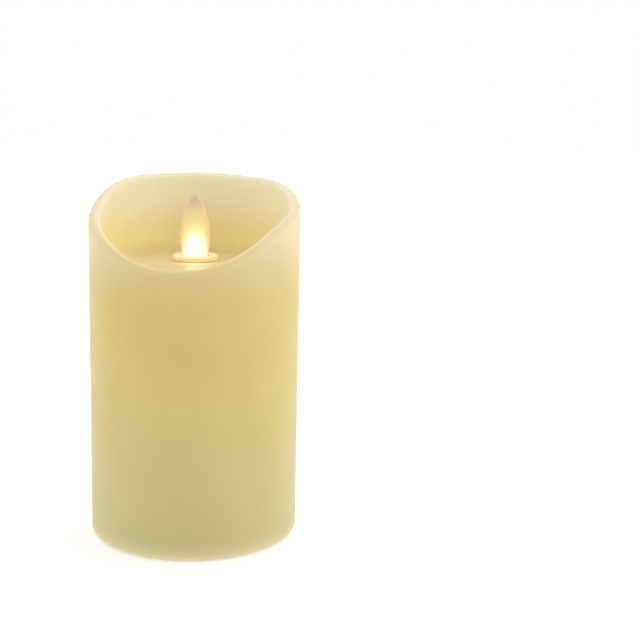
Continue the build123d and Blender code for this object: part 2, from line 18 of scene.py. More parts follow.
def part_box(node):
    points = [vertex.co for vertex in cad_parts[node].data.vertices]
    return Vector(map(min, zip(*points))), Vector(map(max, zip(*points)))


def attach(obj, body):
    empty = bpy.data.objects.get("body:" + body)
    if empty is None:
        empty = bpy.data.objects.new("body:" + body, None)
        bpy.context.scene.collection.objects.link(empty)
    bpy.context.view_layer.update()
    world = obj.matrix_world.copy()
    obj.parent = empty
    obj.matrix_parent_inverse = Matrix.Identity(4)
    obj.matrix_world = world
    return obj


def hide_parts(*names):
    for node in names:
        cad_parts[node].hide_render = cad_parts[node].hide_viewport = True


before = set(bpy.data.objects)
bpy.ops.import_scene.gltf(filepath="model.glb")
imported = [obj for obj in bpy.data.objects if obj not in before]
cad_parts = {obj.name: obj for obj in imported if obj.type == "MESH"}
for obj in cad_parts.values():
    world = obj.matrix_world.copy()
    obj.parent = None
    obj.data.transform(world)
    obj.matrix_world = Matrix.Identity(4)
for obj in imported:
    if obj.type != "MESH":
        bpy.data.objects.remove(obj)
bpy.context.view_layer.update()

MM = 0.001
print("pieces of the solid model:", len(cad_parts))

# %% [markdown]
# ## Camera
#
# The candle is seen from a little above the rim, from 43 cm away, with a longish lens, so its
# sides stay almost parallel. A camera can be placed with rotation angles, but three unit
# vectors are easier to check: where it looks, which way is right and which way is up. They are
# the columns of its matrix.

# %% Camera
CAMERA_PLACE = Vector((0.0, -0.434, 0.1605))
CAMERA_YAW = math.radians(5.98)       # turned from +Y towards +X
CAMERA_PITCH = math.radians(10.7)     # tilted down
CAMERA_ROLL = math.radians(1.25)
LENS_MM = 68.34375                    # focal length
SENSOR_MM = 36.0                      # width of the sensor that it is made for


def camera_matrix(place, yaw, pitch, roll):
    """The look direction is tilted down by pitch and turned by yaw. Right is level, up is
    square to both, and then right and up are turned together by roll."""
    flat = Vector((math.sin(yaw), math.cos(yaw), 0.0))
    look = flat * math.cos(pitch) - Vector((0.0, 0.0, math.sin(pitch)))
    level = Vector((math.cos(yaw), -math.sin(yaw), 0.0))
    lift = level.cross(look)
    right = level * math.cos(roll) + lift * math.sin(roll)
    up = lift * math.cos(roll) - level * math.sin(roll)
    matrix = Matrix((right, up, -look)).transposed().to_4x4()
    matrix.translation = place
    return matrix


camera_data = bpy.data.cameras.new("camera")
camera_data.sensor_width = SENSOR_MM
camera_data.lens = LENS_MM
camera = bpy.data.objects.new("camera", camera_data)
bpy.context.scene.collection.objects.link(camera)
camera.matrix_world = camera_matrix(CAMERA_PLACE, CAMERA_YAW, CAMERA_PITCH, CAMERA_ROLL)
bpy.context.scene.camera = camera
print("camera", round(CAMERA_PLACE.length / MM), "mm from the candle's foot")

# %% [markdown]
# ## A mesh from a grid of points
#
# The new surface in this lesson is a grid: rows run one way, columns the other, and each small
# square of the grid is a face. One helper turns such an array of points into a mesh. It joins
# the last row to the first, and the last column to the first, so that the skin closes with no
# seam. It measures the volume that the faces enclose, and turns them round if that comes out
# negative, so that they always look outwards.

# %% Grid helper
SHARP_BEND = 40.0                     # degrees past which an edge stays crisp


def grid_faces(rows, columns):
    """Corner numbers of each square: a point, the same place in the next row, the one
    diagonally opposite, and the next point of its own row. Both ways wrap round."""
    i, j = np.meshgrid(np.arange(rows), np.arange(columns), indexing="ij")
    after_i = (i + 1) % rows
    after_j = (j + 1) % columns
    corners = np.stack([i * columns + j, after_i * columns + j, after_i * columns + after_j,
                        i * columns + after_j], axis=-1)
    return corners.reshape(-1, 4)


def enclosed_volume(points, faces):
    """Sum over the triangles of a sixth of the triple product of their corners."""
    total = 0.0
    for a, b, c in ((0, 1, 2), (0, 2, 3)):
        p, q, r = points[faces[:, a]], points[faces[:, b]], points[faces[:, c]]
        total += float(np.einsum("ij,ij->i", p, np.cross(q, r)).sum()) / 6.0
    return total


def closed_surface(name, points):
    """A smooth-shaded mesh object from a grid of points in metres."""
    rows, columns = points.shape[:2]
    flat = np.ascontiguousarray(points.reshape(-1, 3), dtype=np.float64)
    faces = grid_faces(rows, columns)
    volume = enclosed_volume(flat, faces)
    if volume < 0.0:
        faces = faces[:, ::-1]
    mesh = bpy.data.meshes.new(name)
    mesh.vertices.add(len(flat))
    mesh.vertices.foreach_set("co", flat.ravel())
    mesh.loops.add(faces.size)
    mesh.loops.foreach_set("vertex_index", np.ascontiguousarray(faces.ravel()))
    mesh.polygons.add(len(faces))
    mesh.polygons.foreach_set("loop_start", np.arange(0, faces.size, 4))
    mesh.polygons.foreach_set("use_smooth", np.ones(len(faces), dtype=bool))
    mesh.update(calc_edges=True)
    mesh.validate()
    mesh.set_sharp_from_angle(angle=math.radians(SHARP_BEND))
    piece = bpy.data.objects.new(name, mesh)
    bpy.context.scene.collection.objects.link(piece)
    print(name, "faces", len(faces), "volume in cm3", round(abs(volume) * 1e6, 1))
    return piece


# %% [markdown]
# ## The melted rim
#
# The maker melts the top of the cast candle until it slumps into a soft wave: high at the back,
# low in front. A wave like that is a mean height plus a few cosines round the candle, the same
# ones that shaped the solid model. The first one tilts the rim, the second one saddles it, and
# the others are ripples. A sculpted mesh would do as well, but the cosines follow the solid
# rim, and they have no seam.

# %% Rim waves
shell_low, shell_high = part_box("wax_shell")
RADIUS = shell_high[0]
CREST = shell_high[2]                 # the highest point of the rim
FOOT = shell_low[2]                   # the lowest edge of the wax
RIM_DROP = 11.2 * MM                  # highest crest down to the rim's mean height
# Each wave: how many crests per turn, its height in mm, and where a crest is, in degrees
RIM_WAVES = ((1, 13.6, 169), (2, 2.6, 73), (3, 0.3, 56), (4, 0.55, 43), (6, 0.3, -7))


def rim_height(turn):
    """Mean height plus, for each wave, its size times the cosine of its count times the angle
    from its crest. The angle runs from -Y towards +X."""
    waves = sum(size * np.cos(count * (turn - math.radians(crest)))
                for count, size, crest in RIM_WAVES)
    return CREST - RIM_DROP + waves * MM


sample_turn = np.linspace(0.0, 2.0 * np.pi, 720, endpoint=False)
print("rim from", round(float(rim_height(sample_turn).min()) / MM, 1), "to",
      round(float(rim_height(sample_turn).max()) / MM, 1), "mm")

# %% [markdown]
# ## The wax shell
#
# Real melted wax has no edges: the outside rolls over the lip, runs down the inner wall and
# turns into the pool in one soft sweep. So the shell is one closed profile, drawn from the
# foot, up the outside, over the lip, down into the pool, through the hole for the flame, and
# back down the bore. The profile is different in each direction, because the lip follows the
# wave: at the back the inner wall is almost as high as a thumb, and in front it is only a ripple.
# A revolved curve could not do that, so both the radius and the height are arrays over the angle
# and the way along the profile.

# %% Profile of the shell
BORE_RADIUS = 33.2 * MM               # inside of the wall, round the core
HOLE_RADIUS = 7.85 * MM               # hole in the pool, round the neck
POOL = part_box("core_sleeve")[1][2]    # height of the pool's floor
FLOOR_UNDER = POOL - 4.5 * MM         # underside of the pool's floor
FOOT_ROUND = 1.9 * MM
LIP_OUTER = 2.2 * MM                  # how far the lip rolls over on the outside
LIP_INNER = 1.9 * MM                  # and on the inside
FLAT_POOL = 17.0 * MM                 # the pool starts to rise here
WALL_HOLLOW = 2.35                    # how squarely the pool turns up into the wall
LIP_SHARE = 0.45                      # the lip takes no more than this share of the inner wall
HOLE_ROUND = 0.5 * MM                 # edge of the hole in the pool
LIP_SWELLS = ((3, 0.22, 0.8), (7, 0.12, 2.0))   # count, mm and start of the lip's unevenness
SHELL_TURNS = 320                     # points round the candle


def ramp(count):
    """Even steps from 0 towards 1, without the last one, where the next stretch starts."""
    return np.linspace(0.0, 1.0, count, endpoint=False)


def shell_points():
    """Points (angle, way along the profile, xyz). The foot, the lip and the pool's hole are
    quarter ellipses. The inner wall is a quarter of a superellipse: the distance out from the
    flat pool and the depth below the lip, each as a share of its whole, have WALL_HOLLOW
    powers that add up to 1. Each stretch has as many points as its ramp says."""
    angle = 2.0 * np.pi * ramp(SHELL_TURNS)[:, None]
    crest = rim_height(angle)
    uneven = sum(size * np.cos(count * angle + start) for count, size, start in LIP_SWELLS)
    lip_in = RADIUS - LIP_OUTER - LIP_INNER + uneven * MM
    one = np.ones_like(angle)
    radii, heights = [], []

    def run(radius, height):
        radii.append(radius * one)
        heights.append(height * one)

    # the foot, and up the outside
    t = ramp(5)
    run(BORE_RADIUS + (RADIUS - FOOT_ROUND - BORE_RADIUS) * t, FOOT + 0 * t)
    bend = ramp(10) * np.pi / 2
    run(RADIUS - FOOT_ROUND * (1 - np.sin(bend)), FOOT + FOOT_ROUND * (1 - np.cos(bend)))
    t = ramp(64)
    low, high = FOOT + FOOT_ROUND, crest - LIP_OUTER
    run(RADIUS + 0 * t, low + (high - low) * t)
    bend = ramp(14) * np.pi / 2
    run(RADIUS - LIP_OUTER * (1 - np.cos(bend)), crest - LIP_OUTER * (1 - np.sin(bend)))
    # over the lip, and down the wall into the pool
    lip_fall = np.minimum(LIP_INNER, LIP_SHARE * (crest - POOL))
    run(RADIUS - LIP_OUTER - (RADIUS - LIP_OUTER - lip_in) * np.sin(bend),
        crest - lip_fall * (1 - np.cos(bend)))
    top = crest - lip_fall
    bend = ramp(70) * np.pi / 2
    out = np.cos(bend) ** (2 / WALL_HOLLOW)
    deep = np.sin(bend) ** (2 / WALL_HOLLOW)
    run(FLAT_POOL + (lip_in - FLAT_POOL) * out, top - (top - POOL) * deep)
    # in to the hole, down through it, and back under the floor and down the bore
    t = ramp(24)
    inner = HOLE_RADIUS + HOLE_ROUND
    run(FLAT_POOL + (inner - FLAT_POOL) * t, POOL + 0 * t)
    bend = ramp(5) * np.pi / 2
    run(inner - HOLE_ROUND * np.sin(bend), POOL - HOLE_ROUND * (1 - np.cos(bend)))
    t = ramp(5)
    run(HOLE_RADIUS + 0 * t, POOL - HOLE_ROUND + (FLOOR_UNDER - POOL + HOLE_ROUND) * t)
    t = ramp(10)
    run(HOLE_RADIUS + (BORE_RADIUS - HOLE_RADIUS) * t, FLOOR_UNDER + 0 * t)
    t = ramp(16)
    run(BORE_RADIUS + 0 * t, FLOOR_UNDER + (FOOT - FLOOR_UNDER) * t)
    radius = np.concatenate(radii, axis=1)
    height = np.concatenate(heights, axis=1)
    return np.stack([radius * np.sin(angle), -radius * np.cos(angle), height], axis=-1)


wax = closed_surface("melted_wax_shell", shell_points())
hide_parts("wax_shell")
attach(wax, "candle")

# %% [markdown]
# ## Finishes: shared effects
#
# Three effects turn up again and again in the finishes: a soft mottle, as in cast wax or moulded
# plastic; a ramp up the height of a piece; and a ramp out from a point, as light falls off from
# a lamp. They could be drawn afresh in every material, but each is a node group with its own
# numbers, so that it is built once. A group gives only a mask. The shader stays in the material.

# %% Node groups


def new_group(name, inputs, output):
    """An empty node group with number or vector inputs and one number output."""
    group = bpy.data.node_groups.new(name, "ShaderNodeTree")
    for label, kind, value in inputs:
        socket = group.interface.new_socket(label, in_out="INPUT", socket_type=kind)
        if kind == "NodeSocketFloat":
            socket.default_value = value
    group.interface.new_socket(output, in_out="OUTPUT", socket_type="NodeSocketFloat")
    return group, group.nodes.new("NodeGroupInput"), group.nodes.new("NodeGroupOutput")


def mottle_group():
    """Mask from soft noise, stretched between Low and High."""
    group, source, result = new_group("mottle", (
        ("Place", "NodeSocketVector", None), ("Scale", "NodeSocketFloat", 100.0),
        ("Detail", "NodeSocketFloat", 3.0), ("Low", "NodeSocketFloat", 0.35),
        ("High", "NodeSocketFloat", 0.65)), "Mask")
    noise = group.nodes.new("ShaderNodeTexNoise")
    spread = group.nodes.new("ShaderNodeMapRange")
    spread.interpolation_type = "SMOOTHSTEP"
    links = group.links
    links.new(source.outputs["Place"], noise.inputs["Vector"])
    links.new(source.outputs["Scale"], noise.inputs["Scale"])
    links.new(source.outputs["Detail"], noise.inputs["Detail"])
    links.new(noise.outputs["Fac"], spread.inputs["Value"])
    links.new(source.outputs["Low"], spread.inputs["From Min"])
    links.new(source.outputs["High"], spread.inputs["From Max"])
    links.new(spread.outputs["Result"], result.inputs["Mask"])
    return group


def rise_group():
    """Mask that goes smoothly from 0 to 1 between two heights."""
    group, source, result = new_group("rise", (
        ("Place", "NodeSocketVector", None), ("Low", "NodeSocketFloat", 0.0),
        ("High", "NodeSocketFloat", 0.1)), "Mask")
    split = group.nodes.new("ShaderNodeSeparateXYZ")
    spread = group.nodes.new("ShaderNodeMapRange")
    spread.interpolation_type = "SMOOTHSTEP"
    links = group.links
    links.new(source.outputs["Place"], split.inputs["Vector"])
    links.new(split.outputs["Z"], spread.inputs["Value"])
    links.new(source.outputs["Low"], spread.inputs["From Min"])
    links.new(source.outputs["High"], spread.inputs["From Max"])
    links.new(spread.outputs["Result"], result.inputs["Mask"])
    return group


def reach_group():
    """Mask that goes smoothly from 0 to 1 between two distances from a point. The distance is
    measured after the space has been squeezed by Squeeze along each axis."""
    group, source, result = new_group("reach", (
        ("Place", "NodeSocketVector", None), ("Centre", "NodeSocketVector", None),
        ("Squeeze", "NodeSocketVector", None), ("Near", "NodeSocketFloat", 0.0),
        ("Far", "NodeSocketFloat", 1.0)), "Mask")
    shift = group.nodes.new("ShaderNodeVectorMath")
    shift.operation = "SUBTRACT"
    squeeze = group.nodes.new("ShaderNodeVectorMath")
    squeeze.operation = "MULTIPLY"
    length = group.nodes.new("ShaderNodeVectorMath")
    length.operation = "LENGTH"
    spread = group.nodes.new("ShaderNodeMapRange")
    spread.interpolation_type = "SMOOTHSTEP"
    links = group.links
    links.new(source.outputs["Place"], shift.inputs[0])
    links.new(source.outputs["Centre"], shift.inputs[1])
    links.new(shift.outputs["Vector"], squeeze.inputs[0])
    links.new(source.outputs["Squeeze"], squeeze.inputs[1])
    links.new(squeeze.outputs["Vector"], length.inputs[0])
    links.new(length.outputs["Value"], spread.inputs["Value"])
    links.new(source.outputs["Near"], spread.inputs["From Min"])
    links.new(source.outputs["Far"], spread.inputs["From Max"])
    links.new(spread.outputs["Result"], result.inputs["Mask"])
    return group


MOTTLE, RISE, REACH = mottle_group(), rise_group(), reach_group()
print("shared effects:", [tree.name for tree in bpy.data.node_groups])

# %% [markdown]
# ## Moves that build a finish
#
# A finish is built from the same few moves: start a material with its shader, place a group, mix
# two colours by a mask, and hang a bump on a height. Written out node by node, a finish takes a
# page. Short helpers keep each one readable.

# %% Finish helpers


def srgb(red, green, blue):
    """A colour given as a painter's 0 to 255 numbers, in the linear values that nodes use."""
    share = np.array([red, green, blue]) / 255.0
    linear = np.where(share <= 0.04045, share / 12.92, ((share + 0.055) / 1.055) ** 2.4)
    return (*(float(v) for v in linear), 1.0)


MIX_FIRST, MIX_SECOND, MIX_RESULT = 6, 7, 2   # the colour sockets of a Mix node


class Finish:
    """A material being built: its nodes, its links, its shader and its Object coordinates."""

    def __init__(self, name, roughness, **constants):
        self.material = bpy.data.materials.new(name)
        self.material.use_nodes = True
        self.nodes = self.material.node_tree.nodes
        self.links = self.material.node_tree.links
        self.shader = self.nodes["Principled BSDF"]
        self.shader.inputs["Roughness"].default_value = roughness
        for label, value in constants.items():
            self.shader.inputs[label.replace("_", " ")].default_value = value
        self.place = self.nodes.new("ShaderNodeTexCoord").outputs["Object"]

    def group(self, tree, **values):
        """Places a node group with its own values, and gives its mask."""
        node = self.nodes.new("ShaderNodeGroup")
        node.node_tree = tree
        self.links.new(self.place, node.inputs["Place"])
        for label, value in values.items():
            node.inputs[label].default_value = value
        return node.outputs["Mask"]

    def rise(self, low, high):
        """Mask that goes from 0 to 1 between two heights."""
        return self.group(RISE, Low=low, High=high)

    def mix(self, mask, first, second):
        """A colour that goes from first to second with the mask."""
        node = self.nodes.new("ShaderNodeMix")
        node.data_type = "RGBA"
        self.feed(mask, node.inputs["Factor"])
        self.feed(first, node.inputs[MIX_FIRST])
        self.feed(second, node.inputs[MIX_SECOND])
        return node.outputs[MIX_RESULT]

    def feed(self, value, socket):
        """Links a socket, or sets a constant."""
        if isinstance(value, bpy.types.NodeSocket):
            self.links.new(value, socket)
        else:
            socket.default_value = value

    def colour(self, value):
        """The colour of the surface itself."""
        self.feed(value, self.shader.inputs["Base Color"])

    def glow(self, value):
        """Light that the surface gives off by itself, as a colour."""
        self.shader.inputs["Emission Strength"].default_value = 1.0
        self.feed(value, self.shader.inputs["Emission Color"])

    def span(self, mask, low, high):
        """A number that goes from low to high with the mask."""
        node = self.nodes.new("ShaderNodeMapRange")
        self.links.new(mask, node.inputs["Value"])
        node.inputs["To Min"].default_value = low
        node.inputs["To Max"].default_value = high
        return node.outputs["Result"]

    def uneven_gloss(self, mask, low, high):
        """Roughness that goes from low to high with the mask."""
        self.feed(self.span(mask, low, high), self.shader.inputs["Roughness"])

    def bump(self, height, distance, strength=1.0):
        """Dents as deep as distance, where the mask in height is low."""
        node = self.nodes.new("ShaderNodeBump")
        node.inputs["Distance"].default_value = distance
        node.inputs["Strength"].default_value = strength
        self.links.new(height, node.inputs["Height"])
        self.links.new(node.outputs["Normal"], self.shader.inputs["Normal"])


# %% [markdown]
# ## Wax
#
# Paraffin wax is milky: light goes in, wanders about for some millimetres and comes out warmer.
# Subsurface scattering does that. The body is a little darker and yellower in the middle than at
# its ends, and these tints by height are painted light and shade: greener grey low down, where
# less of the lamp's glow comes through (painted shade), pale and faintly pink at the thin lip,
# where light shines through it (painted light), and paler at the foot, where light from the paper
# reaches it (painted light). A slow mottle keeps it from looking like plastic. The bump is one
# long soft swell. The lamp under the blade warms the bowl. A small strong lamp alone would leave
# grain in the picture, so most of that warmth is painted on: as a faint glow, strongest round the
# blade, weak on the pool, with a bright spot in front of the ring, and as painted light in the
# bowl's colour, golden low on the wall and pale up it, with painted shade on the pool.

# %% Wax colours and places
WAX_BODY, WAX_CLOUDS = srgb(217, 195, 124), srgb(220, 199, 130)
# Each of these tints of painted light or shade has the heights between which it comes or goes
WAX_LOW_LESS_LIT, LOW_BODY = srgb(206, 195, 138), (0.0, 75 * MM)
WAX_LIP_LIT, NEAR_LIP = srgb(231, 216, 178), (86 * MM, 118 * MM)
WAX_FOOT_LIT, NEAR_FOOT = srgb(220, 208, 168), (1 * MM, 7 * MM)
# In the bowl, heights are counted from the pool. The golden wall low down and the pale wall higher
# up are painted lamp light, and the darker pool is painted shade
WALL_DEEP_LAMPLIT, WALL_HIGH_LAMPLIT, UP_WALL = srgb(245, 227, 146), srgb(240, 236, 214), (2 * MM, 22 * MM)
WAX_POOL_SHADED, OFF_POOL = srgb(226, 202, 150), 5 * MM
GLOW_NEAR, GLOW_FAR = (0.25, 0.14, 0.0, 1.0), (0.02, 0.015, 0.01, 1.0)
GLOW_POOL, GLOW_SPOT = (0.05, 0.02, 0.0, 1.0), (0.36, 0.27, 0.16, 1.0)
NO_GLOW = (0.0, 0.0, 0.0, 1.0)
BOWL_CENTRE = (0.0, 0.0, POOL + 4 * MM)
LEVEL = (1.0, 1.0, 0.0)               # measures the distance from the candle's axis
EVEN = (1.0, 1.0, 1.0)                # measures the distance from a point
SPOT_PLACE = (0.0, -11.5 * MM, POOL)  # the pool just in front of the trim ring
SPOT_SQUEEZE = (1 / (7.5 * MM), 1 / (4.5 * MM), 1 / (5 * MM))

# %% Wax finish


def wax_finish():
    """The outside and the bowl are two colours, parted by the distance from the axis. Both are
    painted with light and shade, and the bowl also with a painted glow.
    """
    f = Finish("wax", 0.42, Subsurface_Weight=0.85, Subsurface_Scale=5 * MM, IOR=1.44,
               Subsurface_Radius=(1.0, 0.80, 0.50), Specular_IOR_Level=0.42)
    f.shader.subsurface_method = "RANDOM_WALK"
    body = f.mix(f.group(MOTTLE, Scale=38.0, Detail=2.0, Low=0.25, High=0.75), WAX_BODY, WAX_CLOUDS)
    # painted light and shade by height: cooler where less lit low down, painted light at the lip
    # and the foot
    body = f.mix(f.rise(*LOW_BODY), WAX_LOW_LESS_LIT, body)
    body = f.mix(f.rise(*NEAR_LIP), body, WAX_LIP_LIT)
    body = f.mix(f.rise(*NEAR_FOOT), WAX_FOOT_LIT, body)
    # painted lamp light up the bowl's wall, and painted shade on the pool
    bowl = f.mix(f.rise(POOL + UP_WALL[0], POOL + UP_WALL[1]), WALL_DEEP_LAMPLIT, WALL_HIGH_LAMPLIT)
    off_pool = f.rise(POOL, POOL + OFF_POOL)
    bowl = f.mix(off_pool, WAX_POOL_SHADED, bowl)
    outside = f.group(REACH, Centre=BOWL_CENTRE, Squeeze=LEVEL, Near=33 * MM, Far=36.8 * MM)
    f.colour(f.mix(outside, bowl, body))
    away = f.group(REACH, Centre=BOWL_CENTRE, Squeeze=EVEN, Near=6 * MM, Far=30 * MM)
    glow = f.mix(off_pool, GLOW_POOL, f.mix(away, GLOW_NEAR, GLOW_FAR))
    off_spot = f.group(REACH, Centre=SPOT_PLACE, Squeeze=SPOT_SQUEEZE, Near=0.2, Far=1.0)
    f.glow(f.mix(outside, f.mix(off_spot, GLOW_SPOT, glow), NO_GLOW))
    f.uneven_gloss(f.group(MOTTLE, Scale=90.0, Detail=4.0, Low=0.3, High=0.7), 0.36, 0.50)
    f.bump(f.group(MOTTLE, Scale=55.0, Detail=3.0, Low=0.2, High=0.8), 0.22 * MM, 0.6)
    return f.material


wax.data.materials.append(wax_finish())
print("nodes in the wax finish:", len(wax.data.materials[0].node_tree.nodes))

# %% [markdown]
# ## Flame blade and trim ring
#
# The blade is a thin milky moulding. The LED shines up at it from the front, so it is white hot
# near the pool, then yellow, then peach, and its tip is a dull grey pink where little light
# arrives. A lamp behind thin plastic could make this glow, but its shape would be hard to steer.
# It is painted as emission instead, with a mask up the height and two ovals low on the blade.
# It keeps its looks when the blade sways, because the masks are in the blade's own space.
# The trim ring is ivory plastic; the same lamp's light through it is painted on as a glow, yellower
# at its outer edge.

# %% Flame and ring finishes
FLAME_FILM = srgb(214, 196, 172)
DULL_TIP, PEACH = (0.09, 0.07, 0.03, 1.0), (0.29, 0.20, 0.0, 1.0)
YELLOW, WHITE_HOT = (0.24, 0.32, 0.04, 1.0), (0.50, 0.55, 0.60, 1.0)
# Painted glow of the lamp's light through the trim ring, at its inner and its outer edge
RING_GLOW_INNER, RING_GLOW_OUTER = (0.17, 0.20, 0.13, 1.0), (0.22, 0.16, 0.08, 1.0)


def oval(f, height, half_width, half_height, near, far):
    """Mask that grows out of an oval, seen from the front, whose centre is height over the
    pool. near and far are shares of its half width and half height."""
    return f.group(REACH, Centre=(0.0, 0.0, POOL + height), Near=near, Far=far,
                   Squeeze=(1 / half_width, 0.0, 1 / half_height))


def flame_finish():
    """White hot in the middle of yellow, in the middle of peach that ends in a dull tip."""
    f = Finish("flame_film", 0.38, Subsurface_Weight=0.5, Subsurface_Scale=2 * MM)
    f.colour(FLAME_FILM)
    glow = f.mix(f.rise(POOL + 16.5 * MM, POOL + 21.5 * MM), PEACH, DULL_TIP)
    glow = f.mix(oval(f, 4 * MM, 6 * MM, 15 * MM, 0.55, 1.05), YELLOW, glow)
    f.glow(f.mix(oval(f, 1.5 * MM, 5.6 * MM, 8 * MM, 0.45, 1.25), WHITE_HOT, glow))
    return f.material


def trim_finish():
    """Ivory plastic with a soft coat, and the lamp's light through it painted on as a faint glow.
    """
    f = Finish("ivory_trim", 0.30, Subsurface_Weight=0.3, Subsurface_Scale=2 * MM,
               Coat_Weight=0.15)
    f.colour(f.mix(f.group(MOTTLE, Scale=140.0, Detail=3.0), srgb(246, 228, 182),
                   srgb(242, 222, 174)))
    edge = f.group(REACH, Centre=BOWL_CENTRE, Squeeze=LEVEL, Near=6.2 * MM, Far=8.6 * MM)
    f.glow(f.mix(edge, RING_GLOW_INNER, RING_GLOW_OUTER))
    return f.material


# %% [markdown]
# ## Moulded plastics
#
# Moulded plastic carries the fine texture of its tool, and its colour is never quite even. Each
# plastic could have a finish of its own, but they differ in little more than colour and gloss.
# So one function makes them all.

# %% Plastic finishes
GRAIN_SCALE, GRAIN_DEPTH = 1500.0, 0.03 * MM


def plastic(name, tint, deeper, roughness, **constants):
    """Two near colours in a mottle, an uneven gloss round roughness, and a fine grain."""
    f = Finish(name, roughness, **constants)
    f.colour(f.mix(f.group(MOTTLE, Scale=140.0, Detail=3.0), srgb(*tint), srgb(*deeper)))
    f.uneven_gloss(f.group(MOTTLE, Scale=260.0, Detail=4.0), roughness - 0.05, roughness + 0.08)
    f.bump(f.group(MOTTLE, Scale=GRAIN_SCALE, Detail=2.0, Low=0.3, High=0.7), GRAIN_DEPTH)
    return f.material


# %% [markdown]
# ## Metals
#
# Plated steel is bright but not even: a mottle moves its colour, and fine streaks along one
# direction, from drawing or rolling, move its gloss. An anisotropic shader would stretch the
# reflections the same way, but noise that is squeezed across the streaks also shows close up.
# The enamelled copper of the coil shows its turns, which are rings up the height of the winding,
# darker in the dips between them as painted shade.

# %% Metal finishes
STREAKS_UP = (900.0, 900.0, 60.0)     # noise per metre along x, y and z: few along the streaks
STREAKS_ACROSS = (60.0, 900.0, 900.0)


def metal(name, tint, deeper, roughness, streaks=STREAKS_UP):
    """Bare metal whose gloss and surface vary in streaks."""
    f = Finish(name, roughness, Metallic=1.0)
    stretch = f.nodes.new("ShaderNodeMapping")
    stretch.inputs["Scale"].default_value = streaks
    noise = f.nodes.new("ShaderNodeTexNoise")
    noise.inputs["Scale"].default_value = 1.0
    f.links.new(f.place, stretch.inputs["Vector"])
    f.links.new(stretch.outputs["Vector"], noise.inputs["Vector"])
    streak = noise.outputs["Fac"]
    f.colour(f.mix(f.group(MOTTLE, Scale=400.0, Detail=3.0), srgb(*tint), srgb(*deeper)))
    f.uneven_gloss(streak, roughness - 0.10, roughness + 0.12)
    f.bump(streak, 0.01 * MM, 0.5)
    return f.material


def copper_winding():
    """Rings up the height: the turns of the enamelled wire, darker in the dips between them as
    painted shade.
    """
    f = Finish("copper", 0.28, Metallic=1.0, Coat_Weight=0.4)
    wave = f.nodes.new("ShaderNodeTexWave")
    wave.bands_direction = "Z"
    wave.inputs["Scale"].default_value = 820.0
    wave.inputs["Distortion"].default_value = 1.2
    wave.inputs["Detail Scale"].default_value = 40.0
    f.links.new(f.place, wave.inputs["Vector"])
    # Painted shade: the copper darkens in the dips between the turns, where the bump dents
    f.colour(f.mix(wave.outputs["Fac"], srgb(120, 52, 24), srgb(214, 128, 74)))
    f.uneven_gloss(f.group(MOTTLE, Scale=500.0), 0.22, 0.36)
    f.bump(wave.outputs["Fac"], 0.06 * MM)
    return f.material


# %% [markdown]
# ## Cells and circuit boards
#
# A cell wears a printed sleeve. This one is generic: dark, with one copper-coloured band round
# the end with the nub, and bare steel at both ends. Separate rings of mesh could carry the
# colours, but masks along the cell do it without touching its shape. A circuit board is green
# lacquer over faint copper tracks, which a brick pattern suggests well enough.

# %% Cell and board finishes
BARE_END = 1.6 * MM
PLUS_BAND = 15 * MM


def band(f, axis, low, high):
    """Mask that is 1 where a coordinate lies between low and high."""
    split = f.nodes.new("ShaderNodeSeparateXYZ")
    f.links.new(f.place, split.inputs["Vector"])
    masks = []
    for edge, operation in ((low, "GREATER_THAN"), (high, "LESS_THAN")):
        test = f.nodes.new("ShaderNodeMath")
        test.operation = operation
        f.links.new(split.outputs[axis], test.inputs[0])
        test.inputs[1].default_value = edge
        masks.append(test.outputs["Value"])
    both = f.nodes.new("ShaderNodeMath")
    both.operation = "MULTIPLY"
    f.links.new(masks[0], both.inputs[0])
    f.links.new(masks[1], both.inputs[1])
    return both.outputs["Value"]


def cell_finish(node, plus):
    """Sleeve, band and bare ends, from the cell's own box. The nub points towards plus."""
    low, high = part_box(node)
    f = Finish("cell_sleeve_" + node, 0.3, Coat_Weight=0.5, Coat_Roughness=0.15)
    sleeve = band(f, "X", low[0] + BARE_END, high[0] - BARE_END)
    if plus > 0:
        ring = band(f, "X", high[0] - PLUS_BAND, high[0])
    else:
        ring = band(f, "X", low[0], low[0] + PLUS_BAND)
    dark = f.mix(f.group(MOTTLE, Scale=200.0, Detail=3.0), srgb(24, 24, 27), srgb(34, 34, 38))
    tint = f.mix(ring, dark, srgb(184, 118, 58))
    f.colour(f.mix(sleeve, srgb(178, 176, 172), tint))
    f.feed(f.span(sleeve, 1.0, 0.0), f.shader.inputs["Metallic"])
    f.uneven_gloss(f.group(MOTTLE, Scale=350.0, Detail=3.0), 0.24, 0.38)
    return f.material


def board_finish():
    """Green lacquer, lighter over the tracks, with a darker speckle."""
    f = Finish("circuit_board", 0.35, Coat_Weight=0.3)
    brick = f.nodes.new("ShaderNodeTexBrick")
    brick.inputs["Scale"].default_value = 260.0
    brick.inputs["Mortar Size"].default_value = 0.06
    brick.inputs["Color1"].default_value = srgb(22, 84, 40)
    brick.inputs["Color2"].default_value = srgb(26, 96, 46)
    brick.inputs["Mortar"].default_value = srgb(48, 128, 66)
    f.links.new(f.place, brick.inputs["Vector"])
    speck = f.group(MOTTLE, Scale=300.0, Detail=4.0)
    f.colour(f.mix(f.span(speck, 0.0, 0.3), brick.outputs["Color"], srgb(14, 60, 30)))
    f.uneven_gloss(speck, 0.28, 0.42)
    f.bump(brick.outputs["Fac"], 0.02 * MM)
    return f.material


# %% [markdown]
# ## Dressing the solid model
#
# Each piece of the solid model but the wax keeps its shape and gets its finish. A finish can
# hang on the mesh or on the object. The mesh may be shared, so it hangs on the object here.

# %% Give every piece its finish


def dress(material, *names):
    """Puts one material on every slot of these pieces."""
    print(material.name, "on", ", ".join(names))
    for name in names:
        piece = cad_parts[name]
        if not piece.material_slots:
            piece.data.materials.append(material)
        for slot in piece.material_slots:
            slot.link = "OBJECT"
            slot.material = material


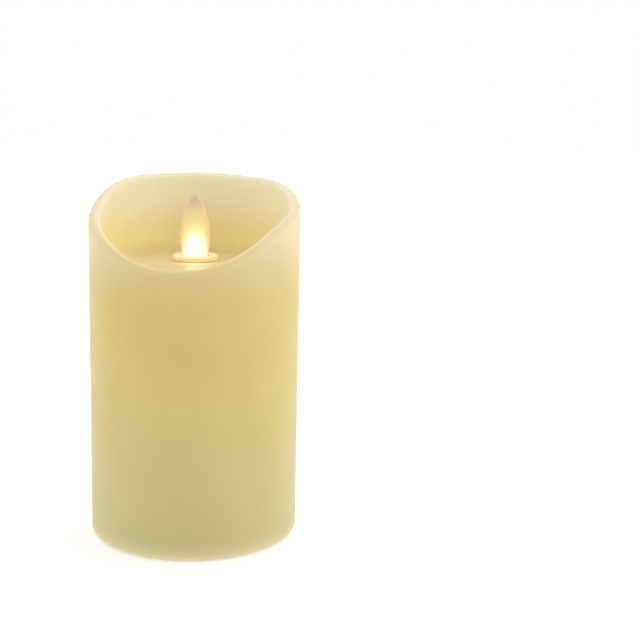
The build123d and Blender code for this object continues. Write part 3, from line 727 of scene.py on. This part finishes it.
dress(flame_finish(), "flame_paddle")
dress(trim_finish(), "flame_bezel")
dress(plastic("core_plastic", (226, 220, 204), (218, 211, 194), 0.45), "core_sleeve")
dress(plastic("base_plastic", (226, 218, 196), (220, 211, 187), 0.48), "base_housing",
      "battery_door")
dress(plastic("mechanism_plastic", (30, 30, 32), (38, 38, 40), 0.5), "mech_housing_front",
      "mech_housing_back")
dress(plastic("switch_plastic", (20, 20, 21), (28, 28, 29), 0.42), "switch_slider",
      "switch_case")
dress(plastic("bobbin_nylon", (206, 203, 192), (196, 192, 180), 0.5), "coil_bobbin")
dress(plastic("chip_resin", (18, 18, 19), (26, 26, 27), 0.4), "control_chip", "resistors")
dress(plastic("led_resin", (250, 236, 190), (246, 226, 168), 0.12, Transmission_Weight=0.4,
              IOR=1.5), "led_lamp")
dress(plastic("red_insulation", (176, 22, 18), (158, 16, 14), 0.35), "battery_lead_red")
dress(plastic("black_insulation", (16, 16, 16), (24, 24, 24), 0.35), "battery_lead_black")
dress(plastic("white_insulation", (224, 222, 214), (214, 212, 202), 0.35), "led_wires",
      "coil_leads", "switch_leads")
dress(metal("zinc_steel", (150, 150, 152), (120, 121, 124), 0.32), "base_screws",
      "mech_clamp_screws", "mech_mount_screws", "switch_screws", "board_screws")
dress(metal("tinned_steel", (190, 190, 186), (168, 168, 165), 0.26), "contact_bridge",
      "contact_positive", "contact_negative", "contact_spring_1", "contact_spring_2",
      "led_leads", "timer_crystal")
dress(metal("music_wire", (170, 170, 172), (150, 150, 153), 0.22, STREAKS_ACROSS),
      "pivot_wire")
dress(metal("nickel_plate", (196, 194, 190), (178, 176, 173), 0.16), "flame_magnet")
dress(plastic("capacitor_sleeve", (34, 40, 66), (28, 33, 56), 0.28), "capacitor")
dress(copper_winding(), "coil_winding")
dress(board_finish(), "control_board", "switch_board", "led_board")
dress(cell_finish("battery_1", -1), "battery_1")
dress(cell_finish("battery_2", 1), "battery_2")

# %% [markdown]
# ## Studio
#
# The candle stands on a sheet of white paper so large that its edges are never seen. A curved
# backdrop is the usual way to hide the far edge. Here the tent behind it is as white as the
# paper, so a flat square is enough. A faint glow keeps the paper white under the candle's shade.

# %% Floor
FLOOR_HALF = 3.0                      # metres from the candle to each edge
floor_mesh = bpy.data.meshes.new("floor")
floor_mesh.from_pydata([(-FLOOR_HALF, -FLOOR_HALF, 0), (FLOOR_HALF, -FLOOR_HALF, 0),
                        (FLOOR_HALF, FLOOR_HALF, 0), (-FLOOR_HALF, FLOOR_HALF, 0)], [],
                       [(0, 1, 2, 3)])
floor = bpy.data.objects.new("floor", floor_mesh)
bpy.context.scene.collection.objects.link(floor)
paper = Finish("studio_paper", 0.9, Emission_Strength=0.30,
               Emission_Color=(1.0, 1.0, 1.0, 1.0))
paper.colour(paper.mix(paper.group(MOTTLE, Scale=6.0), (0.93, 0.93, 0.93, 1),
                       (0.95, 0.95, 0.95, 1)))
floor_mesh.materials.append(paper.material)
print("floor", 2 * FLOOR_HALF, "m square")

# %% [markdown]
# ## Light tent
#
# The sides of the candle catch more light than the middle of its front, as in a light tent that
# is brighter at the back. Many large lamps could imitate a tent. A white world is one even
# light, and its strength can grow from the front to the back. The camera itself always sees
# plain white.

# %% Tent
TENT_FRONT = 0.55                     # brightness of the tent in front of the candle
TENT_BACK = 1.05                      # and behind it
world = bpy.data.worlds.new("studio")
bpy.context.scene.world = world
world.use_nodes = True
tent = world.node_tree
tent_light = tent.nodes["Background"]
tent_light.inputs["Color"].default_value = (1.0, 1.0, 1.0, 1.0)
tent_look = tent.nodes.new("ShaderNodeBackground")
tent_look.inputs["Color"].default_value = (1.0, 1.0, 1.0, 1.0)
tent_way = tent.nodes.new("ShaderNodeTexCoord")
tent_split = tent.nodes.new("ShaderNodeSeparateXYZ")
tent_span = tent.nodes.new("ShaderNodeMapRange")
tent_span.inputs["From Min"].default_value = -1.0
tent_span.inputs["To Min"].default_value = TENT_FRONT
tent_span.inputs["To Max"].default_value = TENT_BACK
tent_seen = tent.nodes.new("ShaderNodeLightPath")
tent_mix = tent.nodes.new("ShaderNodeMixShader")
tent.links.new(tent_way.outputs["Generated"], tent_split.inputs["Vector"])
tent.links.new(tent_split.outputs["Y"], tent_span.inputs["Value"])
tent.links.new(tent_span.outputs["Result"], tent_light.inputs["Strength"])
tent.links.new(tent_seen.outputs["Is Camera Ray"], tent_mix.inputs["Fac"])
tent.links.new(tent_light.outputs["Background"], tent_mix.inputs[1])
tent.links.new(tent_look.outputs["Background"], tent_mix.inputs[2])
tent.links.new(tent_mix.outputs["Shader"], tent.nodes["World Output"].inputs["Surface"])
print("tent from", TENT_FRONT, "in front to", TENT_BACK, "behind")

# %% [markdown]
# ## Lamps
#
# Two large soft lamps at the sides and one above give the wax its shape. Sun lamps would draw
# hard shadows, so they are square area lights, which soften with their size. The lamp in the
# candle is a small warm point just in front of the blade.

# %% Lamps
SOFT_LAMPS = (                        # name, place, what it looks at, width in metres, watts
    ("left_lamp", (-0.7, -0.25, 0.45), (0.0, 0.0, 0.08), 0.6, 0.4),
    ("right_lamp", (0.7, -0.15, 0.5), (0.0, 0.0, 0.08), 0.6, 1.3),
    ("top_lamp", (0.0, 0.3, 0.9), (0.0, 0.0, 0.05), 0.8, 0.8))
FLAME_LAMP_PLACE = (0.0, -5.6 * MM, POOL + 6.5 * MM)
FLAME_LAMP_WATTS = 0.0013
FLAME_LAMP_TINT = (1.0, 0.84, 0.50)
FLAME_LAMP_RADIUS = 2.5 * MM


def add_lamp(name, data, matrix):
    """Puts a lamp in the scene. It lights, but is not seen itself."""
    lamp = bpy.data.objects.new(name, data)
    lamp.matrix_world = matrix
    lamp.visible_camera = False
    bpy.context.scene.collection.objects.link(lamp)
    print(name, round(data.energy, 4), "W")


for name, place, target, width, watts in SOFT_LAMPS:
    data = bpy.data.lights.new(name, "AREA")
    data.size = width
    data.energy = watts
    aim = (Vector(target) - Vector(place)).to_track_quat("-Z", "Y")
    add_lamp(name, data, Matrix.Translation(place) @ aim.to_matrix().to_4x4())

data = bpy.data.lights.new("flame_glow", "POINT")
data.energy = FLAME_LAMP_WATTS
data.color = FLAME_LAMP_TINT
data.shadow_soft_size = FLAME_LAMP_RADIUS
add_lamp("flame_glow", data, Matrix.Translation(FLAME_LAMP_PLACE))

# %% [markdown]
# ## View transform
#
# Colours are shown as they are painted, so the view transform is the plain one.

# %% View transform
bpy.context.scene.view_settings.view_transform = "Standard"
